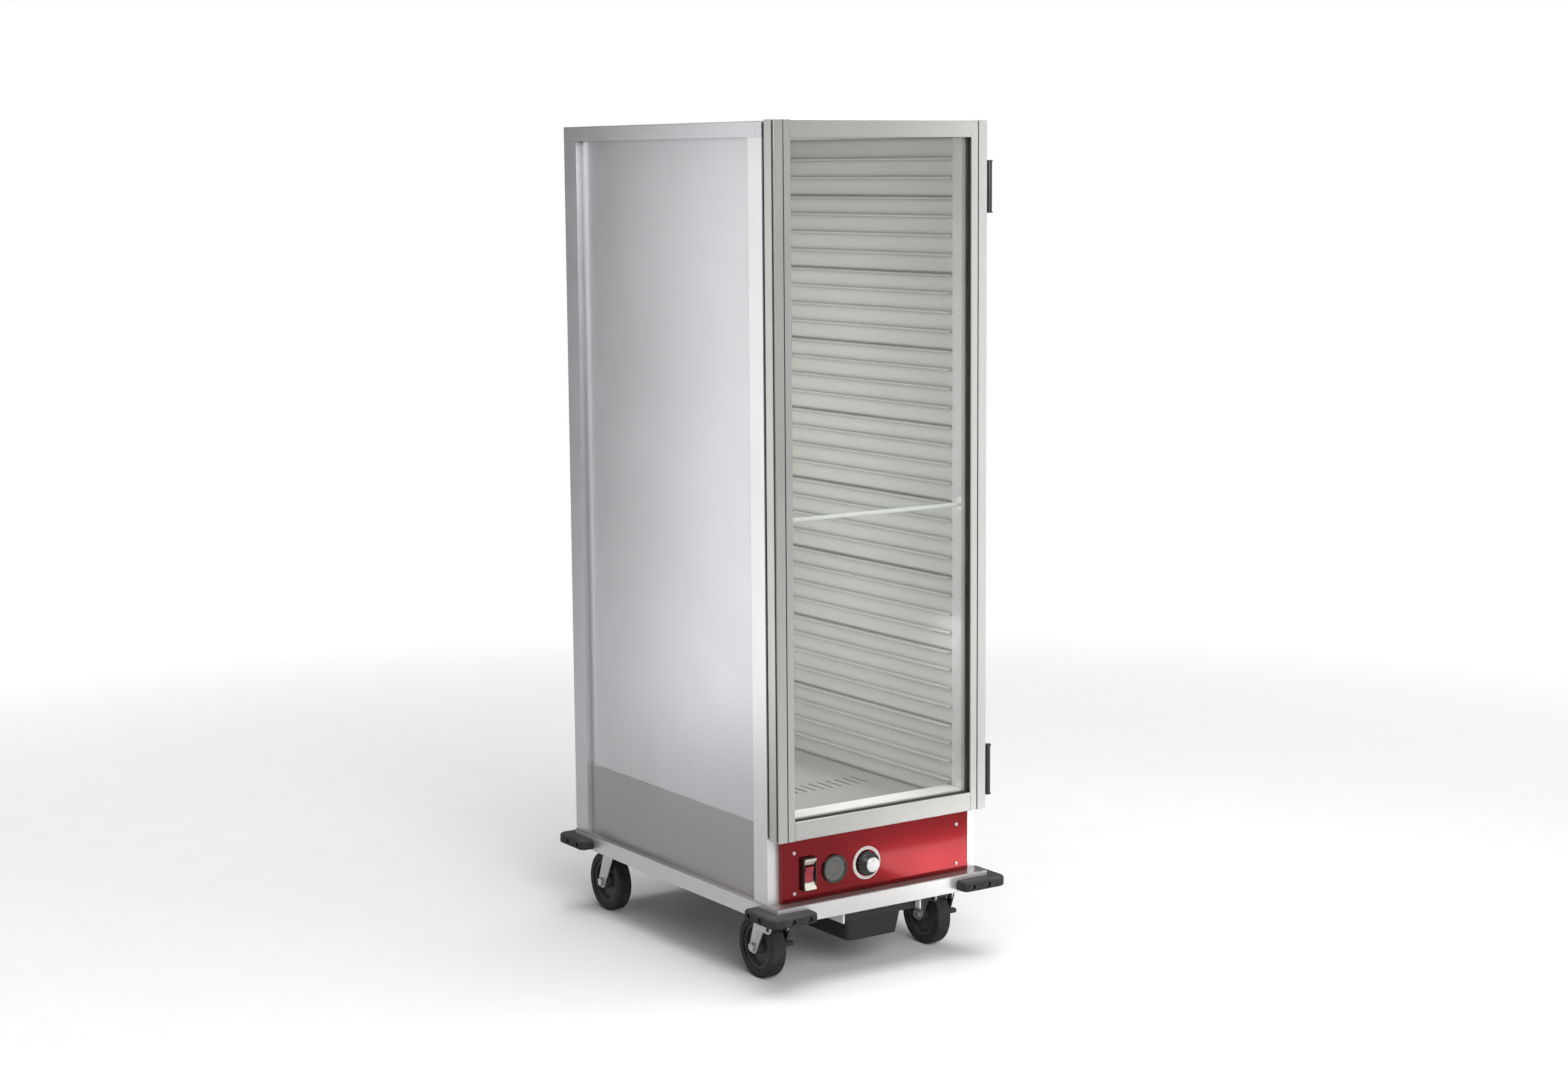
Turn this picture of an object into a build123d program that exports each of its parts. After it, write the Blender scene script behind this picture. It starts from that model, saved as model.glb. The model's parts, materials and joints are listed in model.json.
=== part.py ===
from build123d import *
import math
import os

os.makedirs("parts", exist_ok=True)

# Full-size mobile food holding cabinet, millimetres.
# Origin on the floor under the middle of the base frame, +Z up, door towards -Y, hinges on +X.

# Driving dimensions
BODY_HALF_WIDTH = 253.0
BODY_FRONT = -355.5
BODY_REAR = 393.5
BODY_TOP = 1677.0
BASE_HALF_WIDTH = 256.0
BASE_HALF_LENGTH = 393.5
BASE_BOTTOM = 140.0
BASE_TOP = 174.0
INTERIOR_FLOOR = 310.0
SHEET = 1.5
SLIDE_PITCH = 38.1
SLIDES_PER_PLANK = 4
PLANK_COUNT = 9
WALL_FACE = 232.0
PLANK_BACK = 235.0
SLIDE_REACH = 10.0
JOINT_SLIDE_REACH = 12.0
RUNNING_GAP = 0.05

# Body frame
POST_WALL = 2.5
FRONT_POST_DEPTH = 48.0
REAR_POST_DEPTH = 50.0
TOP_RAIL_HEIGHT = 30.0
TOP_RAIL_DEPTH = 21.0
CEILING = BODY_TOP - TOP_RAIL_HEIGHT
PLANK_FRONT = BODY_FRONT + FRONT_POST_DEPTH
PLANK_REAR = BODY_REAR - REAR_POST_DEPTH
SKIN_FACE = 240.0
HEATER_SKIN_TOP = 325.0
BACK_SKIN_FACE = 381.5
LINER_FACE = 365.0

# Door
DOOR_HALF_WIDTH = 252.4
DOOR_BOTTOM = 303.5
DOOR_TOP = 1679.0
DOOR_FRONT = -393.5
DOOR_BACK = -363.0
WINDOW_HALF_WIDTH = 213.0
WINDOW_BOTTOM = 341.0
WINDOW_TOP = 1646.0
GLASS_SETBACK = 12.0
GLASS_THICKNESS = 5.0
GLASS_EDGE_COVER = 8.0

# Hinges
HINGE_X = 262.0
HINGE_Y = -386.0
HINGE_RADIUS = 6.0
HINGE_PIN_RADIUS = 3.0
HINGE_HEIGHT = 103.0
HINGE_CENTRES = (381.5, 1550.5)
LEAF_THICKNESS = 3.0

# Casters
CASTER_X = 203.0
CASTER_Y = 298.0
WHEEL_RADIUS = 63.5
WHEEL_WIDTH = 32.0
CASTER_TRAIL = 38.0
MOUNT_BOTTOM = 156.0
MOUNT_THICKNESS = 4.0
CASTER_PLATE_THICKNESS = 4.0
RACE_BOTTOM = 144.0
KINGPIN_RADIUS = 6.0
AXLE_RADIUS = 5.0
FORK_INNER = 19.5
FORK_OUTER = 22.5

# Bumpers
BUMPER_PROUD = 30.0
BUMPER_LEG = 108.0
BUMPER_BOTTOM = 144.5
BUMPER_TOP = 164.5

# Control panel
PANEL_FACE = -366.0
PANEL_HALF_WIDTH = 227.0
PANEL_BOTTOM = 174.0
PANEL_TOP = 300.0
SWITCH_X = -166.0
THERMOMETER_X = -103.0
DIAL_X = -25.0
CONTROL_Z = 227.0

# Drip pan
PAN_FRONT = -369.0
PAN_LENGTH = 300.0
PAN_BOTTOM = 69.0
PAN_RIM_BOTTOM = 120.2
PAN_TOP = 134.0
PAN_RIM_HALF_WIDTH = 91.0

PI = math.pi


def block(x0, x1, y0, y1, z0, z1):
    """A box between two corners."""
    centre = ((x0 + x1) / 2, (y0 + y1) / 2, (z0 + z1) / 2)
    return Pos(*centre) * Box(x1 - x0, y1 - y0, z1 - z0)


def rod_z(x, y, z0, z1, radius):
    """A round bar standing upright."""
    return Pos(x, y, (z0 + z1) / 2) * Cylinder(radius, z1 - z0)


def rod_x(x0, x1, y, z, radius):
    """A round bar lying across the cabinet."""
    return Pos((x0 + x1) / 2, y, z) * Rot(0, 90, 0) * Cylinder(radius, x1 - x0)


def rod_y(x, y0, y1, z, radius):
    """A round bar lying front to back."""
    return Pos(x, (y0 + y1) / 2, z) * Rot(90, 0, 0) * Cylinder(radius, y1 - y0)


def hex_x(x0, x1, y, z, across_flats):
    """A hexagonal head whose axis lies across the cabinet."""
    outline = RegularPolygon(across_flats / 2, 6, major_radius=False)
    return Pos(x0, y, z) * Rot(0, 90, 0) * extrude(outline, amount=x1 - x0)


def hex_z(x, y, z0, z1, across_flats):
    """A hexagonal head whose axis is upright."""
    outline = RegularPolygon(across_flats / 2, 6, major_radius=False)
    return Pos(x, y, z0) * extrude(outline, amount=z1 - z0)


def outline_x(points, x0, x1):
    """A plate cut to (y, z) points, filling x0 to x1."""
    face = make_face(Polyline(*[(x0, y, z) for y, z in points], close=True))
    return extrude(face, amount=x1 - x0, dir=(1, 0, 0))


def outline_y(points, y0, y1):
    """A bar whose cross-section is the (x, z) points, filling y0 to y1."""
    face = make_face(Polyline(*[(x, y0, z) for x, z in points], close=True))
    return extrude(face, amount=y1 - y0, dir=(0, 1, 0))


def outline_z(points, z0, z1):
    """A plate cut to (x, y) points, filling z0 to z1."""
    face = make_face(Polyline(*[(x, y, z0) for x, y in points], close=True))
    return extrude(face, amount=z1 - z0, dir=(0, 0, 1))


def both_sides(shape):
    """The shape and its mirror image on the other side of the cabinet."""
    return [shape, mirror(shape, about=Plane.YZ)]


def four_corners(shape):
    """The front-right shape repeated at the four corners by mirroring."""
    sides = both_sides(shape)
    return sides + [mirror(one, about=Plane.XZ) for one in sides]


def write(name, solids):
    """One STEP file holding the solids of one sub-part."""
    loose = []
    for shape in solids:
        loose.extend(shape.solids())
    export_step(Compound(children=loose), f"parts/{name}.step")


# Base frame -----------------------------------------------------------------

RAIL_WALL = 3.0
RAIL_FLANGE = 30.0
DECK_BOTTOM = 172.0
BUMPER_SCREW_RADIUS = 2.5
BUMPER_SCREW_HEIGHT = 153.0
BUMPER_SCREW_OFFSETS = (18.0, 57.0)


def bumper_screw_places():
    """Front-right corner screw centres: (axis, offset along the leg)."""
    outer_x = BASE_HALF_WIDTH
    outer_y = BASE_HALF_LENGTH
    along_front = [("y", outer_x - offset) for offset in BUMPER_SCREW_OFFSETS]
    along_side = [("x", outer_y - offset) for offset in BUMPER_SCREW_OFFSETS]
    return along_front + along_side


def bumper_screw_bores(radius):
    """Cutters for the bumper screws of the front-right corner."""
    cutters = []
    for axis, place in bumper_screw_places():
        if axis == "y":
            front = -BASE_HALF_LENGTH - BUMPER_PROUD - 1
            back = -BASE_HALF_LENGTH + 20
            cutters.append(rod_y(place, front, back, BUMPER_SCREW_HEIGHT, radius))
        else:
            inner = BASE_HALF_WIDTH - 20
            outer = BASE_HALF_WIDTH + BUMPER_PROUD + 1
            cutters.append(rod_x(inner, outer, -place, BUMPER_SCREW_HEIGHT, radius))
    return cutters


def cut_screw_bores(shape):
    """Screw holes at all four corners."""
    for bore in bumper_screw_bores(BUMPER_SCREW_RADIUS):
        for cutter in four_corners(bore):
            shape -= cutter
    return shape


def base_rails():
    """Angle-section rails with welded plates that carry the casters."""
    half_x = BASE_HALF_WIDTH
    half_y = BASE_HALF_LENGTH
    web = block(-half_x, half_x, -half_y, -half_y + RAIL_WALL, BASE_BOTTOM, DECK_BOTTOM)
    flange_edge = -half_y + RAIL_FLANGE
    flange_bottom = DECK_BOTTOM - RAIL_WALL
    web_inner = half_x - RAIL_WALL
    flange = block(-web_inner, web_inner, -half_y, flange_edge, flange_bottom, DECK_BOTTOM)
    front = cut_screw_bores(web + flange)
    side_end = half_y - RAIL_WALL
    side = block(web_inner, half_x, -side_end, side_end, BASE_BOTTOM, DECK_BOTTOM)
    flange_end = half_y - RAIL_FLANGE
    flange_inner = half_x - RAIL_FLANGE
    side += block(
        flange_inner, web_inner, -flange_end, flange_end, flange_bottom, DECK_BOTTOM
    )
    side = cut_screw_bores(side)
    rails = [front, mirror(front, about=Plane.XZ)] + both_sides(side)
    mount_top = MOUNT_BOTTOM + MOUNT_THICKNESS
    mount = block(150, web_inner, -side_end, -235, MOUNT_BOTTOM, mount_top)
    for x, y in caster_bolt_places(CASTER_X, -CASTER_Y):
        mount -= rod_z(x, y, MOUNT_BOTTOM - 1, mount_top + 1, CASTER_BOLT_RADIUS)
    return rails + four_corners(mount)


def base_deck():
    """Sheet that closes the top of the base frame."""
    half_x = BASE_HALF_WIDTH
    half_y = BASE_HALF_LENGTH
    return block(-half_x, half_x, -half_y, half_y, DECK_BOTTOM, BASE_TOP)


def bumper_outline(corner_radius, end_radius):
    """Plan of the L-shaped bumper around the front-right corner."""
    x0 = BASE_HALF_WIDTH
    y0 = -BASE_HALF_LENGTH
    outer_x = x0 + BUMPER_PROUD
    outer_y = y0 - BUMPER_PROUD
    reach = BUMPER_LEG / 2
    front = Pos(outer_x - reach, (y0 + outer_y) / 2) * Rectangle(BUMPER_LEG, BUMPER_PROUD)
    side = Pos((x0 + outer_x) / 2, outer_y + reach) * Rectangle(BUMPER_PROUD, BUMPER_LEG)
    plan = front + side
    roundings = [
        ((outer_x, outer_y, 0), corner_radius),
        ((outer_x - BUMPER_LEG, outer_y, 0), end_radius),
        ((outer_x, outer_y + BUMPER_LEG, 0), end_radius),
    ]
    for tip, radius in roundings:
        nearest = plan.vertices().sort_by_distance(tip)[:1]
        plan = fillet(nearest, radius)
    return plan


def exposed_edges(face):
    """Edges of a bumper's top or bottom face that don't lie against the base."""
    edges = []
    for edge in face.edges():
        middle = edge.center()
        on_side = abs(middle.X - BASE_HALF_WIDTH) < 0.01
        on_front = abs(middle.Y + BASE_HALF_LENGTH) < 0.01
        if not (on_side or on_front):
            edges.append(edge)
    return edges


def corner_bumpers():
    """L-shaped rubber bumpers with rounded edges and recessed screw heads."""
    plan = bumper_outline(20.0, 12.0)
    height = BUMPER_TOP - BUMPER_BOTTOM
    bumper = Pos(0, 0, BUMPER_BOTTOM) * extrude(plan, amount=height)
    bumper = fillet(exposed_edges(bumper.faces().sort_by(Axis.Z)[-1]), 6.0)
    bumper = fillet(exposed_edges(bumper.faces().sort_by(Axis.Z)[0]), 3.0)
    for bore in bumper_screw_bores(BUMPER_SCREW_RADIUS):
        bumper -= bore
    recess_depth = 8.0
    for axis, place in bumper_screw_places():
        if axis == "y":
            face = -BASE_HALF_LENGTH - BUMPER_PROUD
            recess = rod_y(place, face - 1, face + recess_depth, BUMPER_SCREW_HEIGHT, 5.5)
        else:
            face = BASE_HALF_WIDTH + BUMPER_PROUD
            recess = rod_x(face - recess_depth, face + 1, -place, BUMPER_SCREW_HEIGHT, 5.5)
        bumper -= recess
    return four_corners(bumper)


def bumper_screws():
    """Button-head screws that hold the bumpers to the rails."""
    head_radius = 4.8
    head_height = 3.5
    seat = 8.0
    tip = 8.0
    screws = []
    z = BUMPER_SCREW_HEIGHT
    for axis, place in bumper_screw_places():
        if axis == "y":
            seat_y = -BASE_HALF_LENGTH - BUMPER_PROUD + seat
            shank_end = -BASE_HALF_LENGTH + tip
            screw = rod_y(place, seat_y, shank_end, z, BUMPER_SCREW_RADIUS)
            screw += rod_y(place, seat_y - head_height, seat_y, z, head_radius)
        else:
            seat_x = BASE_HALF_WIDTH + BUMPER_PROUD - seat
            shank_end = BASE_HALF_WIDTH - tip
            screw = rod_x(shank_end, seat_x, -place, z, BUMPER_SCREW_RADIUS)
            screw += rod_x(seat_x, seat_x + head_height, -place, z, head_radius)
        screws.extend(four_corners(screw))
    return screws


# Body frame and skins -------------------------------------------------------


def post(y0, y1):
    """A hollow corner post."""
    inner_x = WALL_FACE
    outer_x = BODY_HALF_WIDTH
    tube = block(inner_x, outer_x, y0, y1, BASE_TOP, CEILING)
    return tube - block(
        inner_x + POST_WALL,
        outer_x - POST_WALL,
        y0 + POST_WALL,
        y1 - POST_WALL,
        BASE_TOP - 1,
        CEILING + 1,
    )


def front_posts():
    """Front posts with welded flanges that the control panel is screwed to."""
    right = post(BODY_FRONT, PLANK_FRONT)
    wall_end = WALL_FACE + POST_WALL + 1
    right -= rod_x(WALL_FACE - 1, wall_end, BAR_Y, BAR_Z, BAR_STUD_RADIUS)
    flange = block(PANEL_FLANGE_EDGE, WALL_FACE, BODY_FRONT, BODY_FRONT + 3, BASE_TOP, 298)
    for z in PANEL_SCREW_Z:
        flange -= rod_y(
            PANEL_SCREW_X, BODY_FRONT - 1, BODY_FRONT + 4, z, PANEL_SCREW_RADIUS
        )
    return both_sides(right) + both_sides(flange)


def rear_posts():
    """Rear posts."""
    return both_sides(post(PLANK_REAR, BODY_REAR))


def top_rails():
    """Rails that tie the posts together: capped channels front and rear, tubes between."""
    wall = POST_WALL
    z0 = CEILING
    z1 = BODY_TOP - SHEET
    width = BODY_HALF_WIDTH
    side_front = BODY_FRONT + TOP_RAIL_DEPTH
    side_rear = BODY_REAR - TOP_RAIL_DEPTH
    cap = width - wall
    front = block(-width, width, BODY_FRONT, side_front, z0, z1)
    front -= block(-cap, cap, BODY_FRONT + wall, side_front + 1, z0 + wall, z1 - wall)
    rear = block(-width, width, side_rear, BODY_REAR, z0, z1)
    rear -= block(-cap, cap, side_rear - 1, BODY_REAR - wall, z0 + wall, z1 - wall)
    side = block(WALL_FACE, width, side_front, side_rear, z0, z1)
    side -= block(WALL_FACE + wall, cap, side_front - 1, side_rear + 1, z0 + wall, z1 - wall)
    return [front, rear] + both_sides(side)


def top_panel():
    """Flat sheet that closes the top."""
    width = BODY_HALF_WIDTH
    return block(-width, width, BODY_FRONT, BODY_REAR, BODY_TOP - SHEET, BODY_TOP)


def ceiling_panel():
    """Inner sheet above the pans, hung between the rails."""
    inner = WALL_FACE
    return block(-inner, inner, BODY_FRONT + TOP_RAIL_DEPTH, LINER_FACE, CEILING, CEILING + SHEET)


def side_panels():
    """Outer skins between the posts."""
    right = block(SKIN_FACE - SHEET, SKIN_FACE, PLANK_FRONT, PLANK_REAR, 315, CEILING)
    return both_sides(right)


def lower_side_panels():
    """Skins beside the heater compartment, lapped over the outer skins."""
    y0 = PLANK_FRONT
    y1 = PLANK_REAR
    right = block(SKIN_FACE, SKIN_FACE + SHEET, y0, y1, BASE_TOP, HEATER_SKIN_TOP)
    return both_sides(right)


def back_panel():
    """Rear skin with two rows of cooling slots beside the heater compartment."""
    inner = WALL_FACE
    panel = block(
        -inner, inner, BACK_SKIN_FACE - SHEET, BACK_SKIN_FACE, BASE_TOP, CEILING
    )
    slot_pitch = 24.0
    for row in (206.0, 276.0):
        for column in range(-7, 4):
            x = column * slot_pitch
            panel -= block(
                x - 3, x + 3, BACK_SKIN_FACE - 3, BACK_SKIN_FACE + 1, row - 18, row + 18
            )
    y0 = BACK_SKIN_FACE - 3
    return panel - rod_y(CORD_X, y0, BACK_SKIN_FACE + 1, CORD_Z, GRIP_RADIUS)


def back_liner():
    """Inner back wall behind the pans."""
    inner = WALL_FACE
    return block(-inner, inner, LINER_FACE, LINER_FACE + SHEET, INTERIOR_FLOOR, CEILING)


def slide_profile(z, reach, half_tip, half_root):
    """Outline of one pan slide on the right wall, centred at height z."""
    tip = WALL_FACE - reach
    return [
        (WALL_FACE, z + half_root),
        (tip, z + half_tip),
        (tip, z - half_tip),
        (WALL_FACE, z - half_root),
    ]


def slide_planks(side):
    """Nine wall planks with four pan slides each; every slide is its own solid."""
    chamfer_depth = 1.6
    joint_gap = 0.4
    plank_height = SLIDE_PITCH * SLIDES_PER_PLANK
    outlines = []
    for number in range(PLANK_COUNT):
        z0 = INTERIOR_FLOOR + number * plank_height + joint_gap
        z1 = min(z0 + plank_height - joint_gap, CEILING)
        outlines.append(
            [
                (PLANK_BACK, z0),
                (PLANK_BACK, z1),
                (WALL_FACE, z1),
                (WALL_FACE, z0 + 5),
                (WALL_FACE + chamfer_depth, z0),
            ]
        )
        for slide in range(1, SLIDES_PER_PLANK):
            z = z0 + slide * SLIDE_PITCH
            if z < CEILING - 5:
                outlines.append(slide_profile(z, SLIDE_REACH, 1.2, 2.2))
        if z1 < CEILING:
            outlines.append(slide_profile(z1 - 1.8, JOINT_SLIDE_REACH, 1.0, 1.8))
    planks = [outline_y(points, PLANK_FRONT, PLANK_REAR) for points in outlines]
    if side < 0:
        return [mirror(plank, about=Plane.YZ) for plank in planks]
    return planks


FLOOR_VENT_Y = (-250.0, -60.0)
FAN_X = 0.0
FAN_Y = 230.0
FAN_OPENING_RADIUS = 62.0


def floor_pan():
    """Interior floor with warm-air slots and a guarded opening over the fan."""
    z0 = INTERIOR_FLOOR - SHEET
    inner = WALL_FACE
    pan = block(-inner, inner, BODY_FRONT + 2, LINER_FACE, z0, INTERIOR_FLOOR)
    slot_pitch = 22.0
    for y in FLOOR_VENT_Y:
        for column in range(-8, 9):
            x = column * slot_pitch
            pan -= block(x - 3, x + 3, y - 30, y + 30, z0 - 1, INTERIOR_FLOOR + 1)
    opening = rod_z(FAN_X, FAN_Y, z0 - 1, INTERIOR_FLOOR + 1, FAN_OPENING_RADIUS)
    for offset in (-46.5, -31, -15.5, 0, 15.5, 31, 46.5):
        y = FAN_Y + offset
        reach = FAN_OPENING_RADIUS + 1
        opening -= block(-reach, reach, y - 2, y + 2, z0 - 2, INTERIOR_FLOOR + 2)
    return pan - opening


SILL_TOP = 336.0
SILL_REAR = -295.0


def front_sill():
    """Bright folded sill across the bottom of the opening."""
    y0 = BODY_FRONT
    inner = WALL_FACE
    face = block(-inner, inner, y0, y0 + 2, 299, SILL_TOP)
    shelf = block(-inner, inner, y0 + 2, SILL_REAR, SILL_TOP - 2, SILL_TOP)
    drop = block(-inner, inner, SILL_REAR - 2, SILL_REAR, INTERIOR_FLOOR, SILL_TOP - 2)
    drop -= block(-inner - 1, -inner + 12, SILL_REAR - 3, SILL_REAR + 1, 300, SILL_TOP)
    drop -= block(inner - 12, inner + 1, SILL_REAR - 3, SILL_REAR + 1, 300, SILL_TOP)
    return face + shelf + drop


BAR_Y = -341.0
BAR_Z = INTERIOR_FLOOR + 4 * SLIDES_PER_PLANK * SLIDE_PITCH
BAR_RADIUS = 4.0
BAR_STUD_RADIUS = 3.0


def stabilizer_bar():
    """Cross bar at the top of the fourth plank, with an end bracket on each post."""
    end = WALL_FACE - 3
    bar = rod_x(-end, end, BAR_Y, BAR_Z, BAR_RADIUS)
    bracket = block(end, WALL_FACE, BAR_Y - 12, BAR_Y + 12, BAR_Z - 14, BAR_Z + 14)
    bracket += rod_x(WALL_FACE, WALL_FACE + POST_WALL, BAR_Y, BAR_Z, BAR_STUD_RADIUS)
    return [bar] + both_sides(bracket)


# Control panel --------------------------------------------------------------

PANEL_SCREW_X = 198.0
PANEL_SCREW_Z = (191.0, 272.0)
PANEL_SCREW_RADIUS = 2.0
PANEL_FLANGE_EDGE = 186.0
SWITCH_HALF_WIDTH = 15.0
SWITCH_HALF_HEIGHT = 32.5
THERMOMETER_RADIUS = 28.5
SHAFT_RADIUS = 3.0


def control_panel():
    """Red enamelled tray with cut-outs for the switch, thermometer and thermostat."""
    back = BODY_FRONT
    half = PANEL_HALF_WIDTH
    tray = block(-half, half, PANEL_FACE, back, PANEL_BOTTOM, PANEL_TOP)
    tray -= block(
        -half + SHEET,
        half - SHEET,
        PANEL_FACE + SHEET,
        back + 1,
        PANEL_BOTTOM + SHEET,
        PANEL_TOP - SHEET,
    )
    y0 = PANEL_FACE - 1
    y1 = PANEL_FACE + SHEET + 1
    tray -= block(
        SWITCH_X - 12, SWITCH_X + 12, y0, y1, CONTROL_Z - 29, CONTROL_Z + 29
    )
    tray -= rod_y(THERMOMETER_X, y0, y1, CONTROL_Z, THERMOMETER_RADIUS - 3)
    tray -= rod_y(DIAL_X, y0, y1, CONTROL_Z, SHAFT_RADIUS + 3)
    for x in (-PANEL_SCREW_X, PANEL_SCREW_X):
        for z in PANEL_SCREW_Z:
            tray -= rod_y(x, y0, y1, z, PANEL_SCREW_RADIUS)
    return tray


def panel_screws():
    """Round-head screws at the corners of the control panel."""
    solids = []
    for x in (-PANEL_SCREW_X, PANEL_SCREW_X):
        for z in PANEL_SCREW_Z:
            head = rod_y(x, PANEL_FACE - 2, PANEL_FACE, z, 3.8)
            head = fillet(head.edges().sort_by(Axis.Y)[:1], 1.2)
            slot = block(x - 3, x + 3, PANEL_FACE - 3, PANEL_FACE - 1.2, z - 0.5, z + 0.5)
            shank = rod_y(x, PANEL_FACE, BODY_FRONT + 3, z, PANEL_SCREW_RADIUS)
            solids.append(head - slot + shank)
    return solids


SWITCH_FRONT = PANEL_FACE - 9
ROCKER_PIVOT_Y = PANEL_FACE + 1
ROCKER_REST_TILT = 8.0


def switch_housing():
    """Black housing that stands proud of the panel, with a well for the rocker."""
    half_x = SWITCH_HALF_WIDTH
    half_z = SWITCH_HALF_HEIGHT
    x = SWITCH_X
    z = CONTROL_Z
    frame = block(x - half_x, x + half_x, SWITCH_FRONT, PANEL_FACE, z - half_z, z + half_z)
    frame -= block(
        x - half_x + 2,
        x + half_x - 2,
        SWITCH_FRONT - 1,
        PANEL_FACE + 1,
        z - half_z + 2,
        z + half_z - 2,
    )
    body = block(x - 12, x + 12, PANEL_FACE, PANEL_FACE + 28, z - 29, z + 29)
    body -= block(x - 10.5, x + 10.5, PANEL_FACE - 1, PANEL_FACE + 12, z - 27, z + 27)
    seat = block(x - half_x + 2, x + half_x - 2, PANEL_FACE - 2, PANEL_FACE, z - 30.5, z + 30.5)
    seat -= block(x - 10.5, x + 10.5, PANEL_FACE - 3, PANEL_FACE + 1, z - 27, z + 27)
    housing = frame + seat + body
    pivot = rod_x(x - 12, x + 12, ROCKER_PIVOT_Y, z, 1.45)
    return housing + pivot


def switch_guards():
    """Pale sloping guards above and below the rocker."""
    half_x = SWITCH_HALF_WIDTH - 2
    x0 = SWITCH_X - half_x
    top = CONTROL_Z + SWITCH_HALF_HEIGHT - 2
    seat = PANEL_FACE - 2
    inner = CONTROL_Z + 17
    points = [(seat, inner), (SWITCH_FRONT - 3, top - 2), (SWITCH_FRONT - 3, top), (seat, top)]
    upper = outline_x(points, x0, x0 + 2 * half_x)
    lower_points = [(y, 2 * CONTROL_Z - z) for y, z in points]
    lower = outline_x(lower_points, x0, x0 + 2 * half_x)
    return [upper, lower]


def switch_rocker():
    """Rocker with a shallow V front, turning on the housing's cross pin."""
    half_x = 9.5
    x0 = SWITCH_X - half_x
    z = CONTROL_Z
    front = PANEL_FACE - 6
    points = [
        (front - 1, z - 15),
        (front + 1.8, z),
        (front - 1, z + 15),
        (PANEL_FACE - 1, z + 15),
        (PANEL_FACE + 4, z + 6),
        (PANEL_FACE + 4, z - 6),
        (PANEL_FACE - 1, z - 15),
    ]
    rocker = outline_x(points, x0, x0 + 2 * half_x)
    rocker -= rod_x(x0 - 1, x0 + 2 * half_x + 1, ROCKER_PIVOT_Y, z, 1.5)
    pivot = Axis((SWITCH_X, ROCKER_PIVOT_Y, z), (1, 0, 0))
    return rocker.rotate(pivot, ROCKER_REST_TILT)


THERMOMETER_FRONT = PANEL_FACE - 6
NEEDLE_REST_ANGLE = -135.0


def thermometer_case():
    """Black bezel ring and case with a post for the needle."""
    x = THERMOMETER_X
    z = CONTROL_Z
    radius = THERMOMETER_RADIUS
    case = rod_y(x, THERMOMETER_FRONT, PANEL_FACE, z, radius)
    case = fillet(case.edges().sort_by(Axis.Y)[:1], 2.0)
    case += rod_y(x, PANEL_FACE, PANEL_FACE + 24, z, radius - 3)
    case -= rod_y(x, THERMOMETER_FRONT - 1, PANEL_FACE + 2, z, radius - 3.5)
    post_rod = rod_y(x, PANEL_FACE - 1.4, PANEL_FACE + 2, z, 1.0)
    return case + post_rod


def thermometer_dial():
    """Dark face plate seated in the case."""
    y1 = PANEL_FACE + 2
    dial = rod_y(THERMOMETER_X, y1 - 1, y1, CONTROL_Z, THERMOMETER_RADIUS - 3.5)
    return dial - rod_y(THERMOMETER_X, y1 - 2, y1 + 1, CONTROL_Z, 1.0)


def thermometer_needle():
    """Slim needle with a counterweight."""
    x = THERMOMETER_X
    z = CONTROL_Z
    y0 = PANEL_FACE - 0.9
    hub = rod_y(x, y0, y0 + 0.9, z, 2.6)
    blade = block(x - 0.7, x + 0.7, y0 + 0.1, y0 + 0.8, z, z + 19)
    tail = block(x - 1.3, x + 1.3, y0 + 0.1, y0 + 0.8, z - 7, z)
    needle = hub + blade + tail
    needle -= rod_y(x, y0 - 1, y0 + 2, z, 1.0 + RUNNING_GAP)
    return needle.rotate(Axis((x, y0, z), (0, 1, 0)), NEEDLE_REST_ANGLE)


def thermometer_lens():
    """Clear cover held by the bezel."""
    y0 = THERMOMETER_FRONT + 2
    return rod_y(THERMOMETER_X, y0, y0 + 1.5, CONTROL_Z, THERMOMETER_RADIUS - 3.5)


DIAL_OUTER = 33.0
DIAL_INNER = 27.0
KNOB_BACK = PANEL_FACE - 2.0
KNOB_STEP = PANEL_FACE - 13.0
CAP_FRONT = PANEL_FACE - 23.0


def dial_plate():
    """White graduated ring behind the thermostat knob."""
    y0 = PANEL_FACE - 0.8
    ring = rod_y(DIAL_X, y0, PANEL_FACE, CONTROL_Z, DIAL_OUTER)
    return ring - rod_y(DIAL_X, y0 - 1, PANEL_FACE + 1, CONTROL_Z, DIAL_INNER)


def thermostat_body():
    """Thermostat behind the panel."""
    x = DIAL_X
    z = CONTROL_Z
    y0 = PANEL_FACE + SHEET
    body = block(x - 22, x + 22, y0, y0 + 34, z - 22, z + 22)
    return body - rod_y(x, y0 - 1, y0 + 16, z, SHAFT_RADIUS + RUNNING_GAP)


def thermostat_knob():
    """Black fluted knob skirt on its shaft."""
    x = DIAL_X
    z = CONTROL_Z
    skirt = rod_y(x, KNOB_STEP, KNOB_BACK, z, 24.0)
    skirt = chamfer(skirt.edges().sort_by(Axis.Y)[:1], 3.0)
    grip_count = 18
    for number in range(grip_count):
        angle = 2 * PI * number / grip_count
        gx = x + 24.6 * math.cos(angle)
        gz = z + 24.6 * math.sin(angle)
        skirt -= rod_y(gx, KNOB_STEP - 1, KNOB_BACK - 2, gz, 1.6)
    shaft = rod_y(x, KNOB_BACK, PANEL_FACE + SHEET + 15, z, SHAFT_RADIUS)
    return skirt + shaft


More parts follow.
